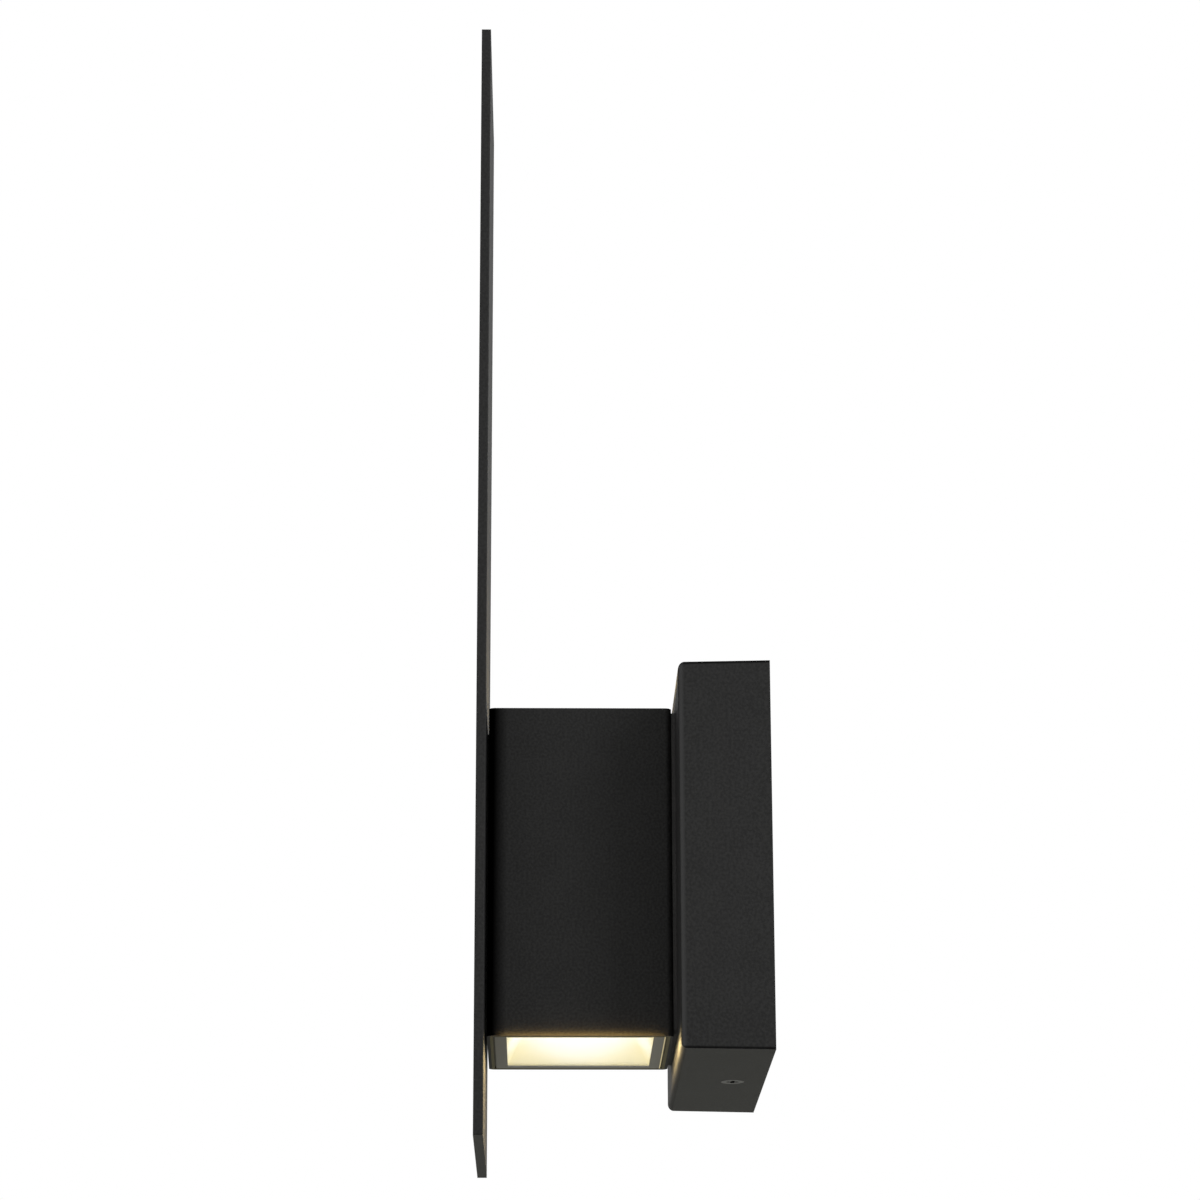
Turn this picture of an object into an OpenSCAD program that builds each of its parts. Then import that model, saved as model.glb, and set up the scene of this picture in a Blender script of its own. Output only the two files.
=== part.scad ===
// Outdoor wall light: a tall front plate on a short light housing, over a box-shaped wall canopy.
// Millimetres. The wall is the plane Y = 0, the front faces -Y and +Z is up. The origin is the middle
// of the canopy's back, which is also the middle of the bracket's slots.

/* [Front plate] */
// Width of the front plate
plate_w = 114; // [92:1:160]
// Height of the front plate
plate_h = 457; // [360:1:600]
// Thickness of the front plate
plate_t = 3.8; // [3:0.2:6]
// Radius of the front plate's edges and corners
plate_edge_r = 0.5; // [0.2:0.1:1]
// Height of the housing's bottom above the plate's bottom
plate_drop = 41; // [20:1:80]
// Gap between the plate and the housing
plate_gap = 0.9; // [0.9:0.1:3]
// How far the gasket in that gap ends below the housing's top and above its bottom
plate_gasket_inset = 8; // [4:0.5:14]

/* [Light housing] */
// Width of the housing
housing_w = 76; // [72:0.5:90]
// Depth of the housing, between the plate and the canopy
housing_d = 71.9; // [70:0.1:86]
// Height of the housing
housing_h = 130.5; // [128:0.5:176]
// Thickness of the housing's wall
housing_wall = 2.4; // [1.8:0.1:3]
// Outer radius of the housing's upright edges
housing_r = 2.4; // [1:0.2:6]
// Height of the housing's middle above the canopy's middle
housing_rise = 1.1; // [0:0.1:4]

/* [Light windows] */
// Thickness of each glass pane
pane_t = 4; // [3:0.5:5]
// Gap all round the pane, which the seal fills
pane_gap = 0.6; // [0.4:0.1:1.5]
// Width of the pane's grey printed border
border_w = 4.6; // [3:0.2:6]
// Thickness of the seal's bed behind the pane
seal_bed_t = 1; // [0.5:0.1:2]
// Depth of the seal's face below the pane's face
seal_recess = 0.8; // [0.3:0.1:1.5]
// Height of each reflector, from the seal's bed to the board
reflector_h = 21; // [18:1:23]
// Wall of each reflector
reflector_wall = 1.5; // [1:0.1:2]
// Width of the reflector's opening at the board
reflector_floor_w = 34; // [30:1:36]
// Thickness of the reflector's rim
reflector_rim_t = 2; // [1:0.5:3]

/* [Light engines] */
// Gap between each LED board and the housing's walls
board_gap = 7.2; // [6:0.2:9]
// Thickness of each LED board
board_t = 1.6; // [1:0.2:2]
// Thickness of the thermal pad behind each board
thermal_pad_t = 0.5; // [0.3:0.1:1]
// Number of LED chips along each side of a board
chips_across = 3; // [2:1:4]
// Distance between the middles of two LED chips
chip_pitch = 8; // [5:0.5:9]
// Width of each LED chip
chip_w = 3; // [2:0.5:3.5]
// Height of each LED chip
chip_h = 0.7; // [0.5:0.1:1.2]

/* [Chassis and driver] */
// Gap between the chassis and the housing's side walls
chassis_gap = 4.6; // [3:0.2:5]
// Gap in front of the chassis's shelves, where the leads pass
lead_room = 6.2; // [5:0.2:8]
// Thickness of the chassis's sheet
chassis_t = 2; // [1.5:0.5:2.5]
// Width of the driver
driver_w = 34; // [28:1:38]
// Depth of the driver
driver_d = 24; // [16:1:30]
// Gap between the driver and the chassis's upper shelf
driver_gap = 2; // [1:0.5:10]
// Width across each jacketed LED lead
lead_d = 2.4; // [1.6:0.2:2.8]

/* [Canopy] */
// Width of the canopy at the wall
canopy_w = 148; // [134:1:170]
// Height of the canopy at the wall
canopy_h = 151.5; // [149:0.5:185]
// Depth of the canopy from the wall
canopy_d = 35.5; // [33:0.5:50]
// How far each side of the canopy leans in between the wall and its front
canopy_draft = 0.6; // [0.2:0.1:2]
// Radius round the canopy's front
canopy_r = 2.5; // [1.5:0.5:6]
// Radius of the corners of the canopy's hollow
canopy_corner_r = 1.2; // [0.6:0.2:3]
// Thickness of the canopy's sides
canopy_wall = 4; // [3.2:0.2:5]
// Thickness of the canopy's front
canopy_front_t = 3; // [2.5:0.5:5]
// Thickness of the layer between the canopy and the housing
gasket_t = 1.4; // [1:0.1:3]
// How far that layer stands in from the housing's faces
gasket_inset = 1.2; // [0.5:0.1:2]
// Depth of the wall gasket in the canopy's rim
wall_gasket_t = 4; // [2:0.5:6]
// Width of the canopy's rim outside the wall gasket
rim_w = 1.8; // [1.2:0.1:2.2]

/* [Mounting bracket] */
// Distance between the bracket's two box slots, 3.5 inches
box_spacing = 88.9; // [88.9:0.1:96]
// Distance between the bracket's two upright slots, 2.75 inches
short_spacing = 69.85; // [69.85:0.05:76]
// Width of each slot
slot_w = 5.2; // [4.5:0.1:6]
// Length of each slot
slot_l = 12; // [8:1:14]
// Thickness of the bracket's sheet
bracket_t = 2.5; // [2:0.1:3]
// Width of the bracket's upright strip and lugs
strip_w = 44; // [36:1:50]
// Height of the bracket's cross arm
arm_h = 28; // [20:1:36]
// Radius of the hole for the supply leads
lead_hole_r = 14; // [10:1:16]
// Depth of the bent lugs
lug_d = 21; // [19:0.5:26]

/* [Fasteners] */
// Distance of the canopy screws from the wall
canopy_screw_y = 12.5; // [11:0.5:14]
// Radius of the canopy screws' thread
canopy_screw_r = 2.5; // [2:0.1:3]
// Radius of the canopy screws' countersunk heads
canopy_head_r = 4.6; // [4.4:0.1:5.4]
// Length of the canopy screws
canopy_screw_l = 14; // [13:0.5:16]
// Radius of the housing screws' thread
housing_screw_r = 2; // [1.5:0.1:2.2]
// Distance of the housing screws from the chassis's sides
housing_screw_side = 5.5; // [4.5:0.5:7]
// Distance of the housing screws from the chassis's ends
housing_screw_end = 11.5; // [9:0.5:13]
// Radius of the plate studs
stud_r = 2; // [1.5:0.1:2.5]
// Distance between the plate studs along X
stud_pitch_x = 50; // [44:1:52]
// Distance between the plate studs along Z
stud_pitch_z = 56; // [40:1:58]

/* [Hidden] */

$fn = 48;

// Overrun of a cut past the face that it starts from
over = 1;
// Overlap of two cuts that meet in one plane
sliver = 0.01;
// Side gap between pieces that fit inside one another
fit = 0.15;
// Radial gap of a thread in its nut
thread_fit = 0.05;
// Radial gap of a screw in its clearance hole
hole_fit = 0.25;
// Thread that stands past its nut
thread_tail = 1;

// Planes along Y, from the wall to the front
canopy_front_y = -canopy_d;
housing_back_y = canopy_front_y - gasket_t;
housing_front_y = housing_back_y - housing_d;
housing_mid_y = housing_back_y - housing_d / 2;
housing_inside_back_y = housing_back_y - housing_wall;
housing_inside_front_y = housing_front_y + housing_wall;
plate_back_y = housing_front_y - plate_gap;

// Planes along Z
housing_z0 = housing_rise - housing_h / 2;
plate_mid_z = housing_z0 - plate_drop + plate_h / 2;

// The space inside the housing, and what closes its ends
inside_w = housing_w - 2 * housing_wall;
inside_d = housing_d - 2 * housing_wall;
inside_r = max(housing_r - housing_wall, 0.6);
pane_w = inside_w - 2 * pane_gap;
pane_d = inside_d - 2 * pane_gap;
pane_r = max(inside_r - pane_gap, 0.4);
window_w = pane_w - 2 * border_w;
window_d = pane_d - 2 * border_w;
led_depth = pane_t + seal_bed_t + reflector_h;
shelf_depth = led_depth + board_t + thermal_pad_t;

// The chassis: a C of bent sheet, open to the front
chassis_w = inside_w - 2 * chassis_gap;
chassis_d = inside_d - lead_room;
chassis_h = housing_h - 2 * shelf_depth;
chassis_bend_r = chassis_t + 1;
chassis_face_y = housing_inside_back_y - chassis_t;
clinch_r = 3.9;
clinch_h = 3;

// The LED boards, with a screw near each corner
board_w = inside_w - 2 * board_gap;
board_d = inside_d - 2 * board_gap;
board_corner_r = 2;
board_screw_r = 1.5;
board_head_r = 2.7;
board_head_h = 1.8;
board_screw_edge = 3.5;
pad_inset = 1;

// From the lower shelf up: the bushing, then the driver with its ears
bushing_bore_r = 3.5;
bushing_r = 6;
bushing_flange_r = 7.5;
bushing_flange_t = 1.5;
bushing_gap = 3;
bushing_z = housing_rise - chassis_h / 2 + chassis_t + bushing_gap + bushing_flange_r;
bushing_hole_r = bushing_r + thread_fit;
driver_z0 = bushing_z + bushing_flange_r + bushing_gap;
driver_z1 = housing_rise + chassis_h / 2 - chassis_t - driver_gap;
driver_h = driver_z1 - driver_z0;
driver_mid_z = (driver_z0 + driver_z1) / 2;
driver_corner_r = 2;
driver_ear_w = 8;
driver_ear_h = 8;
driver_ear_t = 2;
driver_screw_x = driver_w / 2 + driver_ear_w / 2;

// The LED leads leave the driver's front near its ends and land on the boards' front edges
lead_r = lead_d / 2;
lead_inset = 6;
lead_wall_gap = 1.5;
lead_landing = 3;

// Pan-head screws, as shares of the thread's radius
pan_head_r = 2;
pan_head_h = 1.3;
housing_washer_t = 1;

// Stud hardware inside the housing's front wall
stud_collar_r = stud_r + 1;
stud_collar_h = 0.8;
stud_washer_r = 4.5;
stud_washer_t = 0.8;
stud_nut_r = 7 / sqrt(3);
stud_nut_h = 3.2;
stud_hole_rim = 2;

// The canopy's screw pads, seen from the middle of the canopy
canopy_lean = canopy_draft / canopy_d;
canopy_arc_steps = 8;
screw_face_z = canopy_h / 2 - canopy_lean * canopy_screw_y;
screw_pad_rise = 1.5;
screw_pad_t = canopy_wall + screw_pad_rise;
screw_pad_r = 7.5;
canopy_rib_x = 42;
canopy_rib_t = 2;
canopy_rib_h = 5;
canopy_head_rim = 0.4;

// The bracket's lugs end just inside the pads
lug_gap = 0.4;
lug_z = screw_face_z - screw_pad_t - lug_gap;
lug_nut_r = 5;
lug_nut_h = 4;
bracket_bend_r = bracket_t + 1;
arm_end = 5;
arm_w = box_spacing + slot_l + 2 * arm_end;
arm_corner_r = 3;
ground_hole_x = lead_hole_r + 2;
ground_hole_z = lead_hole_r + 9;
ground_screw_r = 2;
ground_screw_l = bracket_t - 0.2;

// Colours as the photo shows them
paint = [0.06, 0.06, 0.06];
steel = [0.72, 0.73, 0.74];
zinc = [0.62, 0.63, 0.62];
rubber = [0.10, 0.10, 0.10];
white = [0.93, 0.93, 0.91];

// A rectangle with round corners, in the middle of its own plane
module round_rect(w, h, r) {
    square([w - 2 * r, h], center = true);
    square([w, h - 2 * r], center = true);
    for (x = [-1, 1], y = [-1, 1])
        translate([x * (w / 2 - r), y * (h / 2 - r)]) circle(r = r);
}

// An outline in X and Z, as thick as t from the plane y towards the front
module upright(y, t) {
    translate([0, y, 0]) rotate([90, 0, 0]) linear_extrude(t) children();
}

// A cylinder along Y, from the plane y towards the front
module rod_y(y, l, r, x = 0, z = 0) {
    translate([x, y, z]) rotate([90, 0, 0]) cylinder(r = r, h = l);
}

// A cylinder between any two points
module rod(a, b, r) {
    v = b - a;
    l = norm(v);
    translate(a) rotate([0, acos(v[2] / l), atan2(v[1], v[0])]) cylinder(r = r, h = l, $fn = 24);
}

// A flat ring along Y, from the plane y towards the front
module ring_y(y, t, r, hole_r) {
    difference() {
        rod_y(y, t, r);
        rod_y(y + over, t + 2 * over, hole_r);
    }
}

// The four places of a rectangular pattern in X and Z, about the housing's middle
module four_places(pitch_x, pitch_z) {
    for (x = [-1, 1], z = [-1, 1])
        translate([x * pitch_x / 2, 0, housing_rise + z * pitch_z / 2]) children();
}

// The housing screws, near the corners of the chassis's back
module housing_screw_places() {
    four_places(chassis_w - 2 * housing_screw_side, chassis_h - 2 * housing_screw_end) children();
}

// The screws near the corners of a board, in X and Y
module board_screw_places() {
    for (x = [-1, 1], y = [-1, 1])
        translate([x * (board_w / 2 - board_screw_edge), y * (board_d / 2 - board_screw_edge)])
            children();
}

// Puts what is drawn for the lower end, with +Z going in, at the lower (-1) or upper (1) end
module at_end(side) {
    translate([0, housing_mid_y, housing_rise + side * housing_h / 2])
        if (side > 0) mirror([0, 0, 1]) children();
        else children();
}

// A pan-head screw with its head below Z = 0 and its thread above
module pan_screw(r, l) {
    head_h = r * pan_head_h;
    difference() {
        union() {
            cylinder(r = r, h = l);
            translate([0, 0, -head_h]) cylinder(r1 = r * pan_head_r * 0.8, r2 = r * pan_head_r, h = head_h);
        }
        cross_recess(-head_h, r * 1.1, head_h * 0.7);
    }
}

// A cross-shaped drive recess, cut upwards from the plane z
module cross_recess(z, reach, depth) {
    for (turn = [0, 90])
        translate([0, 0, z + (depth - over) / 2]) rotate([0, 0, turn])
            cube([2 * reach, reach * 0.45, depth + over], center = true);
}

// Front plate

module front_plate() {
    color(paint) intersection() {
        translate([0, plate_back_y - plate_t / 2, plate_mid_z - plate_h / 2])
            linear_extrude(plate_h) round_rect(plate_w, plate_t, plate_edge_r);
        upright(plate_back_y + over, plate_t + 2 * over)
            translate([0, plate_mid_z]) round_rect(plate_w, plate_h, plate_edge_r);
    }
}

module plate_studs() {
    stud_l = plate_gap + housing_wall + stud_washer_t + stud_nut_h + thread_tail;
    color(steel) four_places(stud_pitch_x, stud_pitch_z) {
        rod_y(plate_back_y + stud_l, stud_l, stud_r);
        rod_y(plate_back_y + stud_collar_h, stud_collar_h, stud_collar_r);
    }
}

// A flat layer round the studs, which keeps water out of their holes
module plate_gasket() {
    hole_r = stud_collar_r + hole_fit;
    layer_w = stud_pitch_x + 2 * (hole_r + stud_hole_rim);
    layer_h = housing_h - 2 * plate_gasket_inset;
    color(rubber) difference() {
        upright(housing_front_y, plate_gap) translate([0, housing_rise])
            round_rect(layer_w, layer_h, hole_r);
        four_places(stud_pitch_x, stud_pitch_z) rod_y(housing_front_y + over, plate_gap + 2 * over, hole_r);
    }
}

module stud_washers() {
    color(steel) four_places(stud_pitch_x, stud_pitch_z)
        ring_y(housing_inside_front_y + stud_washer_t, stud_washer_t, stud_washer_r, stud_r + hole_fit);
}

module stud_nuts() {
    nut_y = housing_inside_front_y + stud_washer_t + stud_nut_h;
    color(steel) four_places(stud_pitch_x, stud_pitch_z) difference() {
        translate([0, nut_y, 0]) rotate([90, 0, 0]) cylinder(r = stud_nut_r, h = stud_nut_h, $fn = 6);
        rod_y(nut_y + over, stud_nut_h + 2 * over, stud_r + thread_fit);
    }
}

// Light housing

module light_housing() {
    color(paint) difference() {
        translate([0, housing_mid_y, housing_z0]) linear_extrude(housing_h) difference() {
            round_rect(housing_w, housing_d, housing_r);
            round_rect(inside_w, inside_d, inside_r);
        }
        four_places(stud_pitch_x, stud_pitch_z)
            rod_y(housing_inside_front_y + over, housing_wall + 2 * over, stud_r + hole_fit);
        housing_screw_places()
            rod_y(housing_back_y + over, housing_wall + 2 * over, housing_screw_r + hole_fit);
        rod_y(housing_back_y + over, housing_wall + 2 * over, bushing_hole_r, z = bushing_z);
    }
}

// Light windows, drawn for the lower end and mirrored for the upper

module pane(side) {
    color([0.98, 0.94, 0.80]) at_end(side) linear_extrude(pane_t) round_rect(pane_w, pane_d, pane_r);
}

// A bead round the pane's edge, and a bed behind its border, round the reflector's mouth
module seal(side) {
    mouth_gap = reflector_wall + fit;
    color(rubber) at_end(side) difference() {
        translate([0, 0, seal_recess]) linear_extrude(pane_t + seal_bed_t - seal_recess)
            round_rect(inside_w, inside_d, inside_r);
        translate([0, 0, -over]) linear_extrude(pane_t + over) round_rect(pane_w, pane_d, pane_r);
        translate([0, 0, -over]) linear_extrude(pane_t + seal_bed_t + 2 * over)
            square([window_w + 2 * mouth_gap, window_d + 2 * mouth_gap], center = true);
    }
}

// A tapered tub from the pane to the board, open at both ends, with a flat rim over the seal's bed
module reflector(side) {
    rim_r = max(inside_r - fit, 0.4);
    color(white) at_end(side) difference() {
        union() {
            translate([0, 0, pane_t + seal_bed_t]) linear_extrude(reflector_rim_t)
                round_rect(inside_w - 2 * fit, inside_d - 2 * fit, rim_r);
            tub(reflector_wall);
        }
        translate([0, 0, pane_t - over]) linear_extrude(over + sliver)
            square([window_w, window_d], center = true);
        tub(0);
        translate([0, 0, led_depth - sliver]) linear_extrude(over)
            square(reflector_floor_w * [1, window_d / window_w], center = true);
    }
}

// The tub's outline, grown by t all round: the window at its mouth, narrower at the board
module tub(t) {
    mouth = [window_w + 2 * t, window_d + 2 * t];
    translate([0, 0, pane_t])
        linear_extrude(seal_bed_t + reflector_h, scale = (reflector_floor_w + 2 * t) / mouth[0])
            square(mouth, center = true);
}

// Light engines

module led_board(side) {
    color(white) at_end(side) translate([0, 0, led_depth]) linear_extrude(board_t) difference() {
        round_rect(board_w, board_d, board_corner_r);
        board_screw_places() circle(r = board_screw_r + hole_fit);
    }
}

module led_chips(side) {
    middle = (chips_across - 1) / 2;
    color([0.98, 0.86, 0.35]) at_end(side)
        for (i = [0 : chips_across - 1], j = [0 : chips_across - 1])
            translate([(i - middle) * chip_pitch, (j - middle) * chip_pitch, led_depth - chip_h / 2])
                cube([chip_w, chip_w, chip_h], center = true);
}

module thermal_pad(side) {
    color([0.55, 0.60, 0.68]) at_end(side) translate([0, 0, led_depth + board_t])
        linear_extrude(thermal_pad_t) difference() {
            square([board_w - 2 * pad_inset, board_d - 2 * pad_inset], center = true);
            board_screw_places() circle(r = board_screw_r + hole_fit);
        }
}

module board_screws() {
    color(steel) for (side = [-1, 1])
        at_end(side) board_screw_places() translate([0, 0, led_depth]) {
            translate([0, 0, -board_head_h]) cylinder(r = board_head_r, h = board_head_h);
            cylinder(r = board_screw_r, h = board_t + thermal_pad_t + chassis_t);
        }
}

// Chassis and driver

// The bent sheet's outline in Y and Z, with Y = 0 at its back
module chassis_outline() {
    depth = chassis_d + 2 * chassis_bend_r;
    hollow_r = chassis_bend_r - chassis_t;
    intersection() {
        difference() {
            translate([-depth / 2, 0]) round_rect(depth, chassis_h, chassis_bend_r);
            translate([-depth / 2, 0])
                round_rect(depth - 2 * chassis_t, chassis_h - 2 * chassis_t, hollow_r);
        }
        translate([-chassis_d, -chassis_h / 2]) square([chassis_d, chassis_h]);
    }
}

module led_chassis() {
    color(zinc) difference() {
        translate([-chassis_w / 2, housing_inside_back_y, housing_rise])
            rotate([90, 0, 90]) linear_extrude(chassis_w) chassis_outline();
        housing_screw_places()
            rod_y(housing_inside_back_y + over, chassis_t + 2 * over, housing_screw_r + hole_fit);
        rod_y(housing_inside_back_y + over, chassis_t + 2 * over, bushing_flange_r + 0.5, z = bushing_z);
        driver_screw_places()
            rod_y(over, chassis_t + 2 * over, board_screw_r + thread_fit);
        for (side = [-1, 1]) at_end(side) board_screw_places()
            translate([0, 0, shelf_depth - over])
                cylinder(r = board_screw_r + thread_fit, h = chassis_t + 2 * over);
    }
}

module clinch_nuts() {
    color(steel) housing_screw_places()
        ring_y(chassis_face_y, clinch_h, clinch_r, housing_screw_r + thread_fit);
}

module driver_screw_places() {
    for (x = [-1, 1])
        translate([x * driver_screw_x, housing_inside_back_y, driver_mid_z]) children();
}

module led_driver() {
    ears_w = driver_w + 2 * driver_ear_w;
    color([0.16, 0.16, 0.17]) difference() {
        union() {
            upright(chassis_face_y, driver_d) translate([0, driver_mid_z])
                round_rect(driver_w, driver_h, driver_corner_r);
            upright(chassis_face_y, driver_ear_t) translate([0, driver_mid_z])
                round_rect(ears_w, driver_ear_h, driver_corner_r);
        }
        driver_screw_places() rod_y(0, chassis_t + driver_ear_t + over, board_screw_r + hole_fit);
    }
}

module driver_screws() {
    color(steel) driver_screw_places() translate([0, -chassis_t - driver_ear_t, 0])
        rotate([-90, 0, 0]) pan_screw(board_screw_r, chassis_t + driver_ear_t);
}

// From the driver's front, round the front edge of the shelf, to the board's front edge
module led_lead(side) {
    lead_x = driver_w / 2 - lead_inset;
    leave_z = driver_mid_z + side * (driver_h / 2 - lead_inset);
    board_z = housing_rise + side * (housing_h / 2 - led_depth + lead_r);
    front_y = housing_inside_front_y + lead_wall_gap + lead_r;
    end_y = housing_mid_y - board_d / 2 + lead_landing;
    route = [
        [lead_x, chassis_face_y - driver_d, leave_z], [lead_x, front_y, leave_z],
        [lead_x, front_y, board_z], [lead_x, end_y, board_z]
    ];
    color([0.85, 0.85, 0.83]) {
        for (i = [0 : len(route) - 2]) rod(route[i], route[i + 1], lead_r);
        for (i = [1 : len(route) - 2]) translate(route[i]) sphere(r = lead_r, $fn = 24);
    }
}

// Between housing and canopy

module housing_gasket() {
    color(rubber) difference() {
        upright(canopy_front_y, gasket_t) translate([0, housing_rise])
            round_rect(housing_w - 2 * gasket_inset, housing_h - 2 * gasket_inset, housing_r);
        housing_screw_places()
            rod_y(canopy_front_y + over, gasket_t + 2 * over, housing_screw_r + hole_fit);
        rod_y(canopy_front_y + over, gasket_t + 2 * over, bushing_hole_r, z = bushing_z);
    }
}

// A grommet through the canopy's front, the gasket and the housing's back
module wire_bushing() {
    inner_y = canopy_front_y + canopy_front_t;
    body_l = canopy_front_t + gasket_t + housing_wall;
    color(rubber) translate([0, 0, bushing_z]) difference() {
        union() {
            rod_y(inner_y, body_l, bushing_r);
            rod_y(inner_y + bushing_flange_t, bushing_flange_t, bushing_flange_r);
            rod_y(inner_y - body_l, bushing_flange_t, bushing_flange_r);
        }
        rod_y(inner_y + bushing_flange_t + over, body_l + 2 * (bushing_flange_t + over), bushing_bore_r);
    }
}

// Canopy

// Half an outline w wide: from the wall along a leaning side and round a corner of radius r
function lean_side(w, front_y, r) =
    let (lean_angle = atan(canopy_lean),
         middle = [w / 2 + canopy_lean * (front_y + r) - r / cos(lean_angle), front_y + r])
    concat([[w / 2, 0]], [for (i = [0 : canopy_arc_steps])
        let (turn = -lean_angle - (90 - lean_angle) * i / canopy_arc_steps)
        middle + r * [cos(turn), sin(turn)]]);

// The whole outline, with the wall at the top and the front at the bottom
module lean_outline(w, front_y, r) {
    side = lean_side(w, front_y, r);
    last = len(side) - 1;
    polygon(concat(side, [for (i = [last : -1 : 0]) [-side[i][0], side[i][1]]]));
}

// Where an outline along Z and one along X meet: four leaning sides and a round-edged front
module leaning_block(w, h, front_y, r) {
    intersection() {
        linear_extrude(h, center = true) lean_outline(w, front_y, r);
        rotate([0, -90, 0]) linear_extrude(w, center = true) lean_outline(h, front_y, r);
    }
}

module canopy() {
    color(paint) difference() {
        union() {
            difference() {
                leaning_block(canopy_w, canopy_h, canopy_front_y, canopy_r);
                leaning_block(canopy_w - 2 * canopy_wall, canopy_h - 2 * canopy_wall,
                              canopy_front_y + canopy_front_t, canopy_corner_r);
                upright(over, wall_gasket_t + over) rim_hollow();
            }
            canopy_ribs();
            for (side = [-1, 1]) canopy_screw_place(side)
                translate([0, 0, canopy_wall / 2])
                    cylinder(r = screw_pad_r, h = screw_pad_t - canopy_wall / 2);
        }
        for (side = [-1, 1]) canopy_screw_place(side) countersink();
        housing_screw_places()
            rod_y(canopy_front_y + canopy_front_t + over, canopy_front_t + 2 * over,
                  housing_screw_r + hole_fit);
        rod_y(canopy_front_y + canopy_front_t + over, canopy_front_t + 2 * over, bushing_hole_r,
              z = bushing_z);
    }
}

// The outline of the recess for the wall gasket
module rim_hollow() {
    round_rect(canopy_w - 2 * rim_w, canopy_h - 2 * rim_w, canopy_corner_r);
}

// Two upright ribs inside the front
module canopy_ribs() {
    rib_l = canopy_h - 2 * canopy_wall;
    for (x = [-1, 1])
        upright(canopy_front_y + canopy_front_t + canopy_rib_h, canopy_rib_h + over)
            translate([x * canopy_rib_x, 0]) square([canopy_rib_t, rib_l], center = true);
}

// Puts what is drawn from the lower face upwards at the lower (-1) or upper (1) canopy screw
module canopy_screw_place(side) {
    translate([0, -canopy_screw_y, side * screw_face_z])
        if (side > 0) mirror([0, 0, 1]) children();
        else children();
}

// Room for a countersunk head and its thread
module countersink() {
    head_r = canopy_head_r + thread_fit;
    hole_r = canopy_screw_r + hole_fit;
    rotate_extrude() polygon([
        [0, -over], [head_r, -over], [head_r, canopy_head_rim], [hole_r, canopy_head_rim + head_r - hole_r],
        [hole_r, screw_pad_t + over], [0, screw_pad_t + over]
    ]);
}

module canopy_screw(side) {
    tip = 0.8;
    cone_top = canopy_head_rim + canopy_head_r - canopy_screw_r;
    color([0.12, 0.12, 0.12]) canopy_screw_place(side) difference() {
        rotate_extrude() polygon([
            [0, 0], [canopy_head_r, 0], [canopy_head_r, canopy_head_rim], [canopy_screw_r, cone_top],
            [canopy_screw_r, canopy_screw_l - tip], [canopy_screw_r - tip, canopy_screw_l],
            [0, canopy_screw_l]
        ]);
        cross_recess(0, canopy_screw_r, canopy_head_r * 0.45);
    }
}

module wall_gasket() {
    inner = 2 * (canopy_wall + 0.5);
    color(rubber) upright(0, wall_gasket_t) difference() {
        round_rect(canopy_w - 2 * rim_w - 2 * fit, canopy_h - 2 * rim_w - 2 * fit, canopy_corner_r);
        round_rect(canopy_w - inner, canopy_h - inner, canopy_corner_r);
    }
}

module housing_screws() {
    head_y = canopy_front_y + canopy_front_t + housing_washer_t;
    grip = housing_washer_t + canopy_front_t + gasket_t + housing_wall + chassis_t;
    color(steel) housing_screw_places() translate([0, head_y, 0]) rotate([90, 0, 0])
        pan_screw(housing_screw_r, grip + clinch_h + thread_tail);
}

module housing_screw_washers() {
    color(steel) housing_screw_places()
        ring_y(canopy_front_y + canopy_front_t + housing_washer_t, housing_washer_t,
               housing_screw_r * pan_head_r, housing_screw_r + hole_fit);
}

// Mounting bracket

// The strip and its bent lugs, as an outline in Y and Z
module lug_outline() {
    depth = 2 * lug_d;
    hollow_r = bracket_bend_r - bracket_t;
    intersection() {
        difference() {
            translate([-depth / 2, 0]) round_rect(depth, 2 * lug_z, bracket_bend_r);
            translate([-depth / 2, 0])
                round_rect(depth - 2 * bracket_t, 2 * (lug_z - bracket_t), hollow_r);
        }
        translate([-lug_d, -lug_z]) square([lug_d, 2 * lug_z]);
    }
}

// A slot with round ends, cut through the bracket's sheet
module slot_cut(turn) {
    upright(over, bracket_t + 2 * over) rotate(turn) {
        square([slot_l - slot_w, slot_w], center = true);
        for (x = [-1, 1]) translate([x * (slot_l - slot_w) / 2, 0]) circle(d = slot_w);
    }
}

module mounting_bracket() {
    color(zinc) difference() {
        union() {
            translate([-strip_w / 2, 0, 0]) rotate([90, 0, 90]) linear_extrude(strip_w) lug_outline();
            upright(0, bracket_t) round_rect(arm_w, arm_h, arm_corner_r);
        }
        rod_y(over, bracket_t + 2 * over, lead_hole_r);
        for (side = [-1, 1]) {
            translate([side * box_spacing / 2, 0, 0]) slot_cut(0);
            translate([0, 0, side * short_spacing / 2]) slot_cut(90);
            rod_y(over, bracket_t + 2 * over, ground_screw_r + thread_fit,
                  x = side * ground_hole_x, z = ground_hole_z);
            canopy_screw_place(side)
                cylinder(r = canopy_screw_r + hole_fit, h = screw_pad_t + lug_gap + bracket_t + over);
        }
    }
}

module lug_nuts() {
    color(steel) for (side = [-1, 1]) canopy_screw_place(side)
        translate([0, 0, screw_pad_t + lug_gap + bracket_t]) difference() {
            cylinder(r = lug_nut_r, h = lug_nut_h);
            translate([0, 0, -over]) cylinder(r = canopy_screw_r + thread_fit, h = lug_nut_h + 2 * over);
        }
}

module ground_screw() {
    color([0.16, 0.48, 0.22]) translate([ground_hole_x, -bracket_t, ground_hole_z])
        rotate([-90, 0, 0]) pan_screw(ground_screw_r, ground_screw_l);
}

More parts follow.
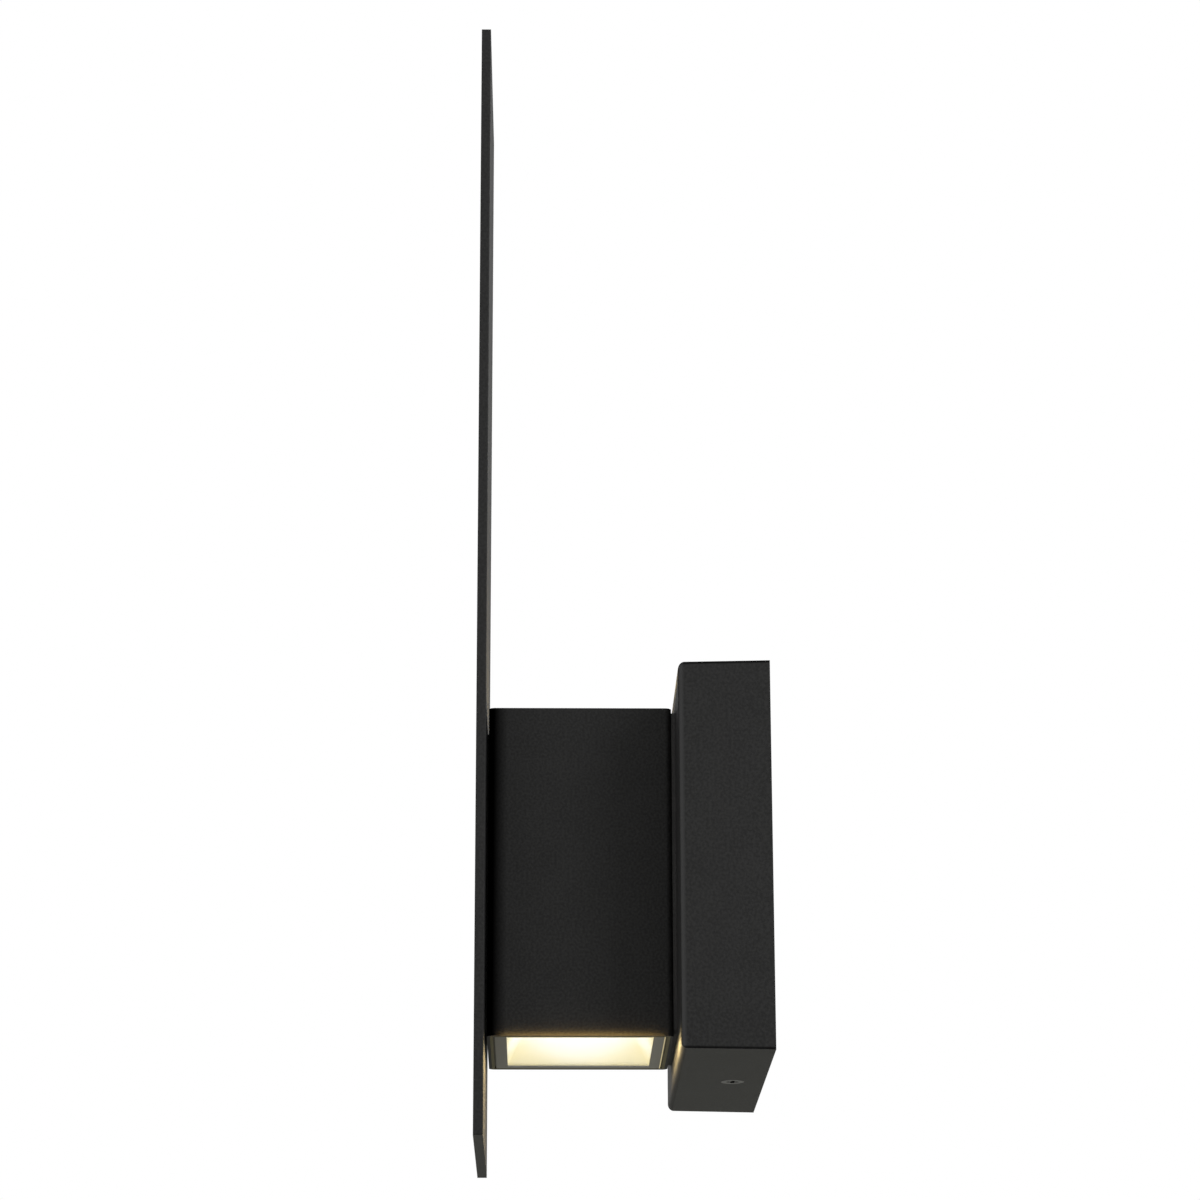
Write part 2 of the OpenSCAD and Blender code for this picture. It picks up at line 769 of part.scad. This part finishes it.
front_plate();
plate_studs();
plate_gasket();
stud_washers();
stud_nuts();
light_housing();
pane(-1);  // lower_pane
pane(1);  // upper_pane
seal(-1);  // lower_seal
seal(1);  // upper_seal
reflector(-1);  // lower_reflector
reflector(1);  // upper_reflector
led_board(-1);  // lower_led_board
led_board(1);  // upper_led_board
led_chips(-1);  // lower_led_chips
led_chips(1);  // upper_led_chips
thermal_pad(-1);  // lower_thermal_pad
thermal_pad(1);  // upper_thermal_pad
board_screws();
led_chassis();
clinch_nuts();
led_driver();
driver_screws();
led_lead(-1);  // lower_led_lead
led_lead(1);  // upper_led_lead
housing_gasket();
wire_bushing();
canopy();
housing_screws();
housing_screw_washers();
wall_gasket();
mounting_bracket();
lug_nuts();
ground_screw();
canopy_screw(-1);  // lower_canopy_screw
canopy_screw(1);  // upper_canopy_screw
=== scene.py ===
# Outdoor wall light: finishes for its pieces, the lit windows, a studio and the camera.
# Metres, in the model's own frame: the wall is Y = 0, the front faces -Y and +Z is up.

import math

import bpy
from mathutils import Matrix, Vector


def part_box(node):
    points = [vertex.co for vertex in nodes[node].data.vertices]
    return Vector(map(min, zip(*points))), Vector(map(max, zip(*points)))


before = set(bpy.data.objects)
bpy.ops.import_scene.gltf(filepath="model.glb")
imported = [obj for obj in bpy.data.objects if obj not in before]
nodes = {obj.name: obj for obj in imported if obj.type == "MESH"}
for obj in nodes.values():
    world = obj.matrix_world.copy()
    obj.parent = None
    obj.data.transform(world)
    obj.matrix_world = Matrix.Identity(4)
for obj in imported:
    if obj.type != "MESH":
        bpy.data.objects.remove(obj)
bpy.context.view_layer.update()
print("frame loaded:", len(nodes), "nodes")


# Colours

def rgb(colour):
    return (*colour, 1.0)


def darker(colour, share):
    return tuple(share * part for part in colour)


black = (0.0, 0.0, 0.0)
white = (1.0, 1.0, 1.0)


# Shader maths: a socket that takes Python's operators

class Wire:
    def __init__(self, tree, socket=None):
        self.tree = tree
        self.socket = socket

    # Adds a node, gives it its settings, then its inputs, and returns one of its outputs
    def node(self, kind, settings={}, inputs={}, output=0):
        made = self.tree.nodes.new("ShaderNode" + kind)
        for name, value in settings.items():
            if name == "stops":
                ramp = made.color_ramp
                while len(ramp.elements) < len(value):
                    ramp.elements.new(1.0)
                for element, (place, colour) in zip(ramp.elements, value):
                    element.position = place
                    element.color = rgb(colour)
            else:
                setattr(made, name, value)
        for name, value in inputs.items():
            if isinstance(value, Wire):
                self.tree.links.new(value.socket, made.inputs[name])
            else:
                made.inputs[name].default_value = value
        return Wire(self.tree, made.outputs[output]) if made.outputs else None

    def maths(self, operation, first, second):
        return self.node("Math", {"operation": operation}, {0: first, 1: second})

    def __add__(self, other):
        return self.maths("ADD", self, other)

    def __radd__(self, other):
        return self.maths("ADD", other, self)

    def __sub__(self, other):
        return self.maths("SUBTRACT", self, other)

    def __rsub__(self, other):
        return self.maths("SUBTRACT", other, self)

    def __mul__(self, other):
        return self.maths("MULTIPLY", self, other)

    def __rmul__(self, other):
        return self.maths("MULTIPLY", other, self)

    def __gt__(self, other):
        return self.maths("GREATER_THAN", self, other)

    def __lt__(self, other):
        return self.maths("LESS_THAN", self, other)

    def __abs__(self):
        return self.node("Math", {"operation": "ABSOLUTE"}, {0: self})

    def larger(self, other):
        return self.maths("MAXIMUM", self, other)

    # 0 at low, 1 at high, and held beyond them
    def ramp(self, low, high, smooth=True):
        kind = "SMOOTHSTEP" if smooth else "LINEAR"
        return self.node("MapRange", {"interpolation_type": kind},
                         {0: self, 1: low, 2: high, 3: 0.0, 4: 1.0})

    # One colour where the wire is 0 and another where it is 1, either of them a wire or plain
    def colours(self, low, high):
        low = low if isinstance(low, Wire) else rgb(low)
        high = high if isinstance(high, Wire) else rgb(high)
        return self.node("Mix", {"data_type": "RGBA"}, {0: self, 6: low, 7: high}, output=2)

    # The same over the middle values of a noise
    def mottled(self, low, high, start=0.3, end=0.7):
        return self.ramp(start, end).colours(low, high)

    # A noise swings about its middle by this much in all
    def swing(self, amount):
        return (self - 0.5) * amount

    def split(self):
        return [self.node("SeparateXYZ", {}, {0: self}, output=i) for i in range(3)]

    # Noise with bumps of a size in metres
    def grain(self, size, detail=2.0, stretch=(1, 1, 1)):
        where = self.node("VectorMath", {"operation": "MULTIPLY"}, {0: self, 1: stretch})
        return self.node("TexNoise", {}, {"Vector": where, "Scale": 1 / size, "Detail": detail})


def startMaterial(name):
    made = bpy.data.materials.new(name)
    made.use_nodes = True
    made.node_tree.nodes.clear()
    start = Wire(made.node_tree)
    place = start.node("TexCoord", output="Object")
    return made, place


# The surface shader, with a bump where there is a height: bump is its depth in metres and its strength
def finishMaterial(made, place, inputs, height=None, bump=None):
    inputs = dict(inputs)
    if height is not None:
        depth, strength = bump
        inputs["Normal"] = place.node("Bump", {}, {
            "Height": height, "Distance": depth, "Strength": strength})
    shader = place.node("BsdfPrincipled", {}, inputs)
    place.node("OutputMaterial", {}, {"Surface": shader})
    return made


# How far a point lies outside a box's sides, seen from above, and less than 0 inside them
def beyondSides(place, low, high):
    middle, half = (low + high) / 2, (high - low) / 2
    across, along = place.split()[:2]
    return (abs(across - middle.x) - half.x).larger(abs(along - middle.y) - half.y)


# Powder coat: a fine even grain with a slight mottle

powderCoat = {
    "colour": (0.0060, 0.0060, 0.0061),
    "paleColour": (0.0150, 0.0150, 0.0151),
    "grain": 0.0010,           # metres from one bump to the next
    "grainDetail": 3.0,
    "grainShare": 0.85,        # of the tone, and the mottle has the rest
    "mottle": 0.012,
    "toneFrom": 0.38,          # noise at which the tone is darkest
    "toneTo": 0.62,            # and palest
    "roughness": 0.68,
    "roughnessSwing": 0.16,
    "gloss": 0.20,
    "bump": (0.00010, 0.7),    # depth and strength
}
castCoat = {**powderCoat, "grain": 0.0011, "bump": (0.00012, 0.7)}
housingBands = {
    "endFace": 0.0001,         # what lies this near to an end counts as its face
    "sealFrom": 0.0012,        # where the sealant on the end faces begins, in from the sides
    "sealColour": (0.100, 0.088, 0.044),
    "shadeFrom": 0.0075,        # where the painted shade on the side walls begins, measured from the plate's side
    "shadeFull": 0.0020,        # and where that painted shade is black
}
# A highlight painted on the front edges of the canopy's two upright sides, measured from the front
canopyEdgeHighlight = {
    "from": 0.0004,            # past the front itself
    "full": 0.0010,
    "to": 0.0024,
    "reach": 0.0035,           # in from each side
    "colour": (0.034, 0.034, 0.035),
}
# Painted shade: a dark crease on its front and sides along the lower and upper edges, measured from those
canopyCreaseShade = {
    "lean": 0.6 / 35.5,        # the lower and upper faces' draft
    "from": 0.00005,           # past the lower and upper faces themselves
    "full": 0.0006,
    "to": 0.0012,
    "share": 0.75,             # of the tone is lost where the crease is full
}


# detail changes the coat's tone where a piece has sealant, painted shade or painted highlights, and says
# where the painted shade is
def makePowderCoat(name, spec, detail=None):
    made, place = startMaterial(name)
    grain = place.grain(spec["grain"], spec["grainDetail"])
    mottle = place.grain(spec["mottle"])
    mixed = grain * spec["grainShare"] + mottle * (1 - spec["grainShare"])
    tone = mixed.ramp(spec["toneFrom"], spec["toneTo"], smooth=False)
    tone = tone.colours(spec["colour"], spec["paleColour"])
    paintedShade = 0.0
    if detail:
        tone, paintedShade = detail(place, tone)
    return finishMaterial(made, place, {
        "Base Color": tone,
        "Metallic": paintedShade,      # painted shade: a black metal gives back next to no light
        "Roughness": spec["roughness"] + grain.swing(spec["roughnessSwing"]),
        "Specular IOR Level": spec["gloss"],
    }, grain, spec["bump"])


# The housing's end faces carry sealant along their inner edge, and shade is painted on its sides, darker
# towards the plate
def housingDetail(place, tone):
    low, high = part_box("light_housing")
    middle, half = (low + high) / 2, (high - low) / 2
    along, height = place.split()[1:]
    endFace = abs(height - middle.z) > (half.z - housingBands["endFace"])
    sealed = endFace * (beyondSides(place, low, high) < -housingBands["sealFrom"])
    # Painted shade: the side walls darken towards the plate, standing in for the shadow of the plate's
    # overhang
    dark = along.ramp(low.y + housingBands["shadeFrom"], low.y + housingBands["shadeFull"], smooth=False)
    dark = dark * (1.0 - endFace)
    tone = dark.colours(tone, black)
    return sealed.colours(tone, housingBands["sealColour"]), dark


# A highlight is painted on the canopy's upright front edges, and shade in its crease
def canopyDetail(place, tone):
    low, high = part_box("canopy")
    across, along, height = place.split()
    # Painted highlight along the upright front edges
    upright = (along > (low.y + canopyEdgeHighlight["from"])) * (abs(across) > (high.x - canopyEdgeHighlight["reach"]))
    edge = upright * along.ramp(low.y + canopyEdgeHighlight["to"], low.y + canopyEdgeHighlight["full"], smooth=False)
    tone = edge.colours(tone, canopyEdgeHighlight["colour"])
    # Painted shade in the crease along the lower and upper edges
    fromEnd = high.z + along * canopyCreaseShade["lean"] - abs(height)
    dark = fromEnd.ramp(canopyCreaseShade["to"], canopyCreaseShade["full"], smooth=False)
    dark = dark * (fromEnd > canopyCreaseShade["from"]) * canopyCreaseShade["share"]
    return dark.colours(tone, black), dark


# Bare and plated metal, streaked and a little cloudy

steel = {
    "colour": (0.62, 0.62, 0.60),
    "roughness": 0.30,
    "streak": 0.0004,
    "stretch": (1, 1, 1),
    "metallic": 1.0,
}
greenSteel = {
    "colour": (0.030, 0.220, 0.060),
    "roughness": 0.36,
    "streak": 0.0006,
    "stretch": (1, 1, 1),
    "metallic": 0.5,
}
sheetAluminium = {
    "colour": (0.72, 0.73, 0.74),
    "roughness": 0.34,
    "streak": 0.0007,
    "stretch": (0.04, 1, 1),
    "metallic": 1.0,
}
metalSurface = {
    "darkShare": 0.78,         # of the colour, where the metal is darkest
    "cloud": 0.006,
    "streakShare": 0.6,        # of the tone, and the clouds have the rest
    "streakSwing": 0.20,
    "cloudSwing": 0.10,
    "bump": (0.00002, 0.5),
}


def makeMetal(name, spec):
    made, place = startMaterial(name)
    streak = place.grain(spec["streak"], stretch=spec["stretch"])
    cloud = place.grain(metalSurface["cloud"])
    mixed = streak * metalSurface["streakShare"] + cloud * (1 - metalSurface["streakShare"])
    dark = darker(spec["colour"], metalSurface["darkShare"])
    rough = spec["roughness"] + streak.swing(metalSurface["streakSwing"])
    return finishMaterial(made, place, {
        "Base Color": mixed.mottled(dark, spec["colour"]),
        "Metallic": spec["metallic"],
        "Roughness": rough + cloud.swing(metalSurface["cloudSwing"]),
    }, streak, metalSurface["bump"])


# A countersunk screw of black steel, whose cross recess is painted on its head as a black cross of shade

blackScrew = {
    "colour": (0.055, 0.055, 0.056),
    "roughness": 0.42,
    "metallic": 0.8,
    "streak": 0.0005,
    "arm": 0.0008,             # half the width of the cross's arms
    "reach": 0.0020,           # their length from the screw's axis
    "gloss": 0.0,
    # The recess's colour is painted shade
    "recessColour": (0.001, 0.001, 0.001),
    "recessRoughness": 0.4,    # more than the head's
}


def makeScrew(name, spec, axis):
    made, place = startMaterial(name)
    across, along = place.split()[:2]
    across, along = abs(across - axis.x), abs(along - axis.y)
    # Painted shade: a black cross where the recess is
    recessShade = (across < spec["arm"]).larger(along < spec["arm"])
    recessShade = recessShade * (across.larger(along) < spec["reach"])
    streak = place.grain(spec["streak"])
    tone = streak.mottled(darker(spec["colour"], metalSurface["darkShare"]), spec["colour"])
    rough = spec["roughness"] + streak.swing(metalSurface["streakSwing"])
    return finishMaterial(made, place, {
        "Base Color": recessShade.colours(tone, spec["recessColour"]),
        "Metallic": spec["metallic"] - recessShade * spec["metallic"],
        "Roughness": rough + recessShade * spec["recessRoughness"],
        "Specular IOR Level": spec["gloss"],
    }, streak, metalSurface["bump"])


# Galvanised sheet: flat spangles with a fine grain over them

galvanised = {
    "colour": (0.50, 0.51, 0.51),
    "darkColour": (0.40, 0.41, 0.42),
    "spangle": 0.0035,
    "spangleShare": 0.7,       # of the tone, and the grain has the rest
    "grain": 0.0008,
    "metallic": 0.9,
    "roughness": 0.40,
    "spangleRoughness": 0.16,
    "grainSwing": 0.1,
    "bump": (0.00002, 0.4),
}


def makeGalvanised(name, spec):
    made, place = startMaterial(name)
    spangle = place.node("TexVoronoi", {}, {"Vector": place, "Scale": 1 / spec["spangle"]}, output="Color")
    spangle = spangle.split()[0]
    fine = place.grain(spec["grain"])
    mixed = spangle * spec["spangleShare"] + fine * (1 - spec["spangleShare"])
    rough = spec["roughness"] + spangle * spec["spangleRoughness"]
    return finishMaterial(made, place, {
        "Base Color": mixed.colours(spec["darkColour"], spec["colour"]),
        "Metallic": spec["metallic"],
        "Roughness": rough + fine.swing(spec["grainSwing"]),
    }, fine, spec["bump"])


# Rubber and plastic: a fine grain over larger patches

blackRubber = {
    "colour": (0.012, 0.012, 0.012),
    "paleColour": (0.024, 0.024, 0.023),
    "grain": 0.0009,
    "roughness": 0.72,
}
sealBead = {
    "colour": (0.050, 0.046, 0.028),
    "paleColour": (0.085, 0.080, 0.052),
    "grain": 0.0009,
    "roughness": 0.60,
}
thermalPad = {
    "colour": (0.22, 0.27, 0.36),
    "paleColour": (0.30, 0.35, 0.44),
    "grain": 0.0012,
    "roughness": 0.80,
}
driverCase = {
    "colour": (0.022, 0.022, 0.024),
    "paleColour": (0.036, 0.036, 0.038),
    "grain": 0.0007,
    "roughness": 0.55,
    "bumpDepth": 0.00005,
}
leadJacket = {
    "colour": (0.66, 0.66, 0.63),
    "paleColour": (0.78, 0.78, 0.75),
    "grain": 0.0020,
    "roughness": 0.45,
}
plainSurface = {
    "patch": 12,               # patches are this many times the grain's size
    "grainShare": 0.5,
    "toneFrom": 0.35,
    "toneTo": 0.65,
    "roughnessSwing": 0.14,
    "gloss": 0.35,
    "bumpDepth": 0.00003,
    "bumpStrength": 0.5,
}


def makePlain(name, spec):
    spec = {**plainSurface, **spec}
    made, place = startMaterial(name)
    grain = place.grain(spec["grain"])
    patch = place.grain(spec["grain"] * spec["patch"])
    mixed = grain * spec["grainShare"] + patch * (1 - spec["grainShare"])
    return finishMaterial(made, place, {
        "Base Color": mixed.mottled(spec["colour"], spec["paleColour"], spec["toneFrom"], spec["toneTo"]),
        "Roughness": spec["roughness"] + patch.swing(spec["roughnessSwing"]),
        "Specular IOR Level": spec["gloss"],
    }, grain, (spec["bumpDepth"], spec["bumpStrength"]))


# White-coated LED board with a faint grain, and copper showing round its rim; its glow is the chips' light

ledBoard = {
    "colour": (0.84, 0.84, 0.82),
    "paleColour": (0.90, 0.90, 0.88),
    "rimColour": (0.46, 0.30, 0.16),
    "rim": 0.0006,
    "grain": 0.0011,
    "roughness": 0.42,
    "rimRoughness": 0.1,       # more than the coat's
    "glowColour": (1.0, 0.92, 0.66),
    "glow": 2.0,
    "bump": (0.00002, 0.4),
}


def makeBoard(name, spec, low, high):
    made, place = startMaterial(name)
    rim = beyondSides(place, low, high) > -spec["rim"]
    grain = place.grain(spec["grain"])
    return finishMaterial(made, place, {
        "Base Color": rim.colours(grain.mottled(spec["colour"], spec["paleColour"]), spec["rimColour"]),
        "Roughness": spec["roughness"] + rim * spec["rimRoughness"],
        "Emission Color": rim.colours(spec["glowColour"], black),
        "Emission Strength": spec["glow"],
    }, grain, spec["bump"])


# The chips, with their yellow phosphor

ledChip = {
    "colour": (0.92, 0.72, 0.16),
    "paleColour": (0.96, 0.82, 0.30),
    "grain": 0.0006,
    "roughness": 0.4,
    "roughnessRise": 0.2,
    "glowColour": (1.0, 0.80, 0.46),
    "glow": 8.0,
}


def makeChip(name, spec):
    made, place = startMaterial(name)
    phosphor = place.grain(spec["grain"])
    return finishMaterial(made, place, {
        "Base Color": phosphor.mottled(spec["colour"], spec["paleColour"]),
        "Roughness": spec["roughness"] + phosphor * spec["roughnessRise"],
        "Emission Color": rgb(spec["glowColour"]),
        "Emission Strength": spec["glow"],
    })


# The white tub, whose glow falls off with the distance from the middle of the chips

ledTub = {
    "colour": (0.90, 0.87, 0.78),
    "darkShare": 0.96,
    "grain": 0.0014,
    "roughness": 0.38,
    "roughnessRise": 0.1,
    "far": 0.040,              # distance at which it glows least, in the first colour
    "near": 0.020,             # and at which it glows most, in the last
    "glow": 3.0,
    "stops": [
        (0.00, (0.225, 0.175, 0.035)),
        (0.05, (0.230, 0.185, 0.050)),
        (0.17, (0.245, 0.208, 0.095)),
        (0.33, (0.275, 0.265, 0.255)),
        (0.43, (0.300, 0.300, 0.300)),
        (0.72, (0.450, 0.450, 0.450)),
        (1.00, (1.000, 0.980, 0.920)),
    ],
    "bump": (0.00002, 0.3),
}


def makeTub(name, spec, chips):
    made, place = startMaterial(name)
    offset = place.node("VectorMath", {"operation": "SUBTRACT"}, {0: place, 1: chips})
    distance = place.node("VectorMath", {"operation": "LENGTH"}, {0: offset}, output="Value")
    closeness = distance.ramp(spec["far"], spec["near"], smooth=False)
    moulded = place.grain(spec["grain"])
    return finishMaterial(made, place, {
        "Base Color": moulded.mottled(darker(spec["colour"], spec["darkShare"]), spec["colour"]),
        "Roughness": spec["roughness"] + moulded * spec["roughnessRise"],
        "Emission Color": place.node("ValToRGB", {"stops": spec["stops"]}, {0: closeness}),
        "Emission Strength": spec["glow"],
    }, moulded, spec["bump"])


# A clear pane with a grey border: on its outer face along three sides, and along the +X side on its
# inner face, where it shows through the glass

pane = {
    "glassColour": (0.97, 0.98, 0.97),
    "roughness": 0.06,
    "roughnessSwing": 0.02,
    "index": 1.5,
    "border": 0.0046,          # width of the border
    "borderColour": (0.120, 0.113, 0.092),
    "darkShare": 0.80,
    "borderRoughness": 0.55,
    "speckle": 0.0006,
    "innerFace": 0.0003,       # what lies this near to the inner face counts as part of it
    "deepGlow": (0.060, 0.057, 0.046),     # light that the border's deep side gets through the glass
    "edgeLine": 0.0004,        # width of the line of light along the border's edge on the wall's side
    "edgeGlow": (0.42, 0.34, 0.16),
}


def makePane(name, spec, low, high, innerZ):
    made, place = startMaterial(name)
    across, along, height = place.split()
    middle, half = (low + high) / 2, (high - low) / 2
    ends = abs(along - middle.y) > (half.y - spec["border"])
    farSide = across < (low.x + spec["border"])
    innerFace = abs(height - innerZ) < spec["innerFace"]
    deep = innerFace * (across > (high.x - spec["border"]))
    printed = ends.larger(farSide).larger(deep)
    speckle = place.grain(spec["speckle"])
    glass = place.node("BsdfPrincipled", {}, {
        "Base Color": rgb(spec["glassColour"]),
        "Roughness": spec["roughness"] + speckle.swing(spec["roughnessSwing"]),
        "IOR": spec["index"],
        "Transmission Weight": 1.0,
    })
    # Painted light: the border's deep side and a line along its edge on the wall's side glow
    edge = along > (high.y - spec["edgeLine"])
    glow = edge.colours(deep.colours(black, spec["deepGlow"]), spec["edgeGlow"])
    dark = darker(spec["borderColour"], spec["darkShare"])
    border = place.node("BsdfPrincipled", {}, {
        "Base Color": speckle.mottled(dark, spec["borderColour"]),
        "Roughness": spec["borderRoughness"],
        "Emission Color": glow,
        "Emission Strength": 1.0,
    })
    both = place.node("MixShader", {}, {0: printed, 1: glass, 2: border})
    place.node("OutputMaterial", {}, {"Surface": both})
    return made


# Dress every node of the model

def coat(names, material):
    for name in names:
        mesh = nodes[name].data
        mesh.materials.clear()
        mesh.materials.append(material)


coat(["front_plate"], makePowderCoat("paint", powderCoat))
coat(["light_housing"], makePowderCoat("sealed_paint", powderCoat, housingDetail))
coat(["canopy"], makePowderCoat("cast_paint", castCoat, canopyDetail))
coat(["plate_studs", "stud_washers", "stud_nuts", "board_screws", "clinch_nuts", "driver_screws",
      "housing_screws", "housing_screw_washers", "lug_nuts"], makeMetal("steel", steel))
coat(["plate_gasket", "housing_gasket", "wire_bushing", "wall_gasket"],
     makePlain("black_rubber", blackRubber))
coat(["lower_seal", "upper_seal"], makePlain("seal_rubber", sealBead))
coat(["lower_thermal_pad", "upper_thermal_pad"], makePlain("pad_rubber", thermalPad))
coat(["lower_led_lead", "upper_led_lead"], makePlain("lead_jacket", leadJacket))
coat(["lower_led_chips", "upper_led_chips"], makeChip("lit_chip", ledChip))
coat(["mounting_bracket"], makeGalvanised("zinc_steel", galvanised))
coat(["ground_screw"], makeMetal("green_steel", greenSteel))
coat(["led_chassis"], makeMetal("sheet_aluminium", sheetAluminium))
coat(["led_driver"], makePlain("driver_plastic", driverCase))
for end in ("lower", "upper"):
    paneLow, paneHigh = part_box(end + "_pane")
    boardLow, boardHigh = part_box(end + "_led_board")
    chipLow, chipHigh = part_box(end + "_led_chips")
    screwLow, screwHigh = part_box(end + "_canopy_screw")
    innerZ = paneHigh.z if end == "lower" else paneLow.z
    chips, axis = (chipLow + chipHigh) / 2, (screwLow + screwHigh) / 2
    coat([end + "_pane"], makePane(end + "_lit_glass", pane, paneLow, paneHigh, innerZ))
    coat([end + "_reflector"], makeTub(end + "_white_plastic", ledTub, chips))
    coat([end + "_led_board"], makeBoard(end + "_white_board", ledBoard, boardLow, boardHigh))
    coat([end + "_canopy_screw"], makeScrew(end + "_black_steel", blackScrew, axis))
print("materials:", len(bpy.data.materials))


# Studio: a pale floor far below, a white background, and soft lamps

studio = {
    "nearGrey": 0.55,          # the room on the camera's side
    "farGrey": 0.75,           # the white backdrop behind the light
    "floorZ": -1.7,
    "floorSize": 60.0,
    "floorColour": (0.82, 0.82, 0.74),
    "floorDark": 0.97,         # the darkest tone's share of that
    "floorGrain": 0.4,
    "floorDetail": 3.0,
    "floorRoughness": 0.8,
}
warmLight = (1.0, 0.74, 0.34)
# Each lamp's size is its width and height
roomLamps = {
    "frontLamp": {
        "place": (0.90, -1.40, 0.70), "target": (0.0, -0.06, 0.12),
        "size": (1.2, 1.8), "watts": 9.0, "colour": white},
    "wallLamp": {
        "place": (1.00, 1.10, 0.50), "target": (0.0, -0.06, 0.05),
        "size": (1.0, 1.6), "watts": 17.0, "colour": white},
    # Along the lower window's +X edge
    "edgeGlow": {
        "place": (0.0395, -0.07285, -0.0642), "target": (0.030, -0.07285, -0.0637),
        "size": (0.066, 0.0015), "watts": 0.0054, "colour": (1.0, 0.62, 0.16)},
}
# What the lower window throws on the plate and on the canopy, mirrored and weaker at the upper one
windowLamps = {
    "Glow": {
        "place": (0.0, -0.07285, -0.0648), "target": (0.0, -0.07285, -1.0),
        "size": (0.056, 0.056), "watts": 0.21, "colour": warmLight},
    "Spill": {
        "place": (0.044, -0.0450, -0.0690), "target": (0.044, -0.0420, -0.0790),
        "size": (0.020, 0.010), "watts": 0.023, "colour": (1.0, 0.76, 0.34)},
}
windowMiddleZ = 0.0011         # halfway between the two windows
upperShare = 0.6


def makeStudio(spec):
    world = bpy.data.worlds.new("studio")
    bpy.context.scene.world = world
    world.use_nodes = True
    world.node_tree.nodes.clear()
    start = Wire(world.node_tree)
    towards = start.node("TexCoord", output="Generated").split()[0]     # 1 on the camera's side, -1 behind
    grey = towards.ramp(1.0, -1.0) * (spec["farGrey"] - spec["nearGrey"]) + spec["nearGrey"]
    # White to the camera, in gloss and through glass
    seen = start.node("LightPath", output="Is Camera Ray")
    seen = seen.larger(start.node("LightPath", output="Is Glossy Ray"))
    seen = seen.larger(start.node("LightPath", output="Is Transmission Ray"))
    background = start.node("Background", {}, {"Color": rgb(white), "Strength": seen.larger(grey)})
    start.node("OutputWorld", {}, {"Surface": background})

    made, place = startMaterial("floorPaint")
    soft = place.grain(spec["floorGrain"], spec["floorDetail"])
    pale = soft.colours(darker(spec["floorColour"], spec["floorDark"]), spec["floorColour"])
    finishMaterial(made, place, {"Base Color": pale, "Roughness": spec["floorRoughness"]})
    bpy.ops.mesh.primitive_plane_add(size=spec["floorSize"], location=(0.0, 0.0, spec["floorZ"]))
    floor = bpy.context.object
    floor.name = "floor"
    floor.data.materials.append(made)


def addLamp(name, spec):
    data = bpy.data.lights.new(name, "AREA")
    data.shape = "ELLIPSE"
    data.size, data.size_y = spec["size"]
    data.energy = spec["watts"]
    data.color = spec["colour"]
    lamp = bpy.data.objects.new(name, data)
    lamp.location = spec["place"]
    ahead = Vector(spec["target"]) - Vector(spec["place"])
    lamp.rotation_euler = ahead.to_track_quat("-Z", "Y").to_euler()
    lamp.visible_camera = False
    bpy.context.scene.collection.objects.link(lamp)


def mirrored(place):
    return (place[0], place[1], 2 * windowMiddleZ - place[2])


makeStudio(studio)
for name, spec in roomLamps.items():
    addLamp(name, spec)
for name, spec in windowLamps.items():
    addLamp("lower" + name, spec)
    addLamp("upper" + name, {**spec, "place": mirrored(spec["place"]), "target": mirrored(spec["target"]),
                             "watts": upperShare * spec["watts"]})
bpy.context.scene.view_settings.view_transform = "Standard"
print("studio:", len(bpy.data.lights), "lamps")


# The camera stands at the light's side, below it, and looks up

view = {
    "place": (1.407925, -0.089208, -0.313102),
    "turn": 0.017734,          # radians from -X towards +Y
    "tilt": 0.300209,          # up
    "roll": -0.00234,
    "lens": 108.0,             # millimetres
    "sensor": 36.0,
    "clip": (0.01, 50.0),
}


def makeCamera(spec):
    ahead = Vector((-math.cos(spec["turn"]) * math.cos(spec["tilt"]),
                    math.sin(spec["turn"]) * math.cos(spec["tilt"]), math.sin(spec["tilt"])))
    level = ahead.cross(Vector((0, 0, 1))).normalized()
    rise = level.cross(ahead)
    right = level * math.cos(spec["roll"]) + rise * math.sin(spec["roll"])
    up = rise * math.cos(spec["roll"]) - level * math.sin(spec["roll"])
    data = bpy.data.cameras.new("camera")
    data.lens = spec["lens"]
    data.sensor_width = spec["sensor"]
    data.clip_start, data.clip_end = spec["clip"]
    camera = bpy.data.objects.new("camera", data)
    camera.matrix_world = Matrix((
        (right.x, up.x, -ahead.x, spec["place"][0]),
        (right.y, up.y, -ahead.y, spec["place"][1]),
        (right.z, up.z, -ahead.z, spec["place"][2]),
        (0, 0, 0, 1)))
    bpy.context.scene.collection.objects.link(camera)
    bpy.context.scene.camera = camera


makeCamera(view)
print("camera placed")
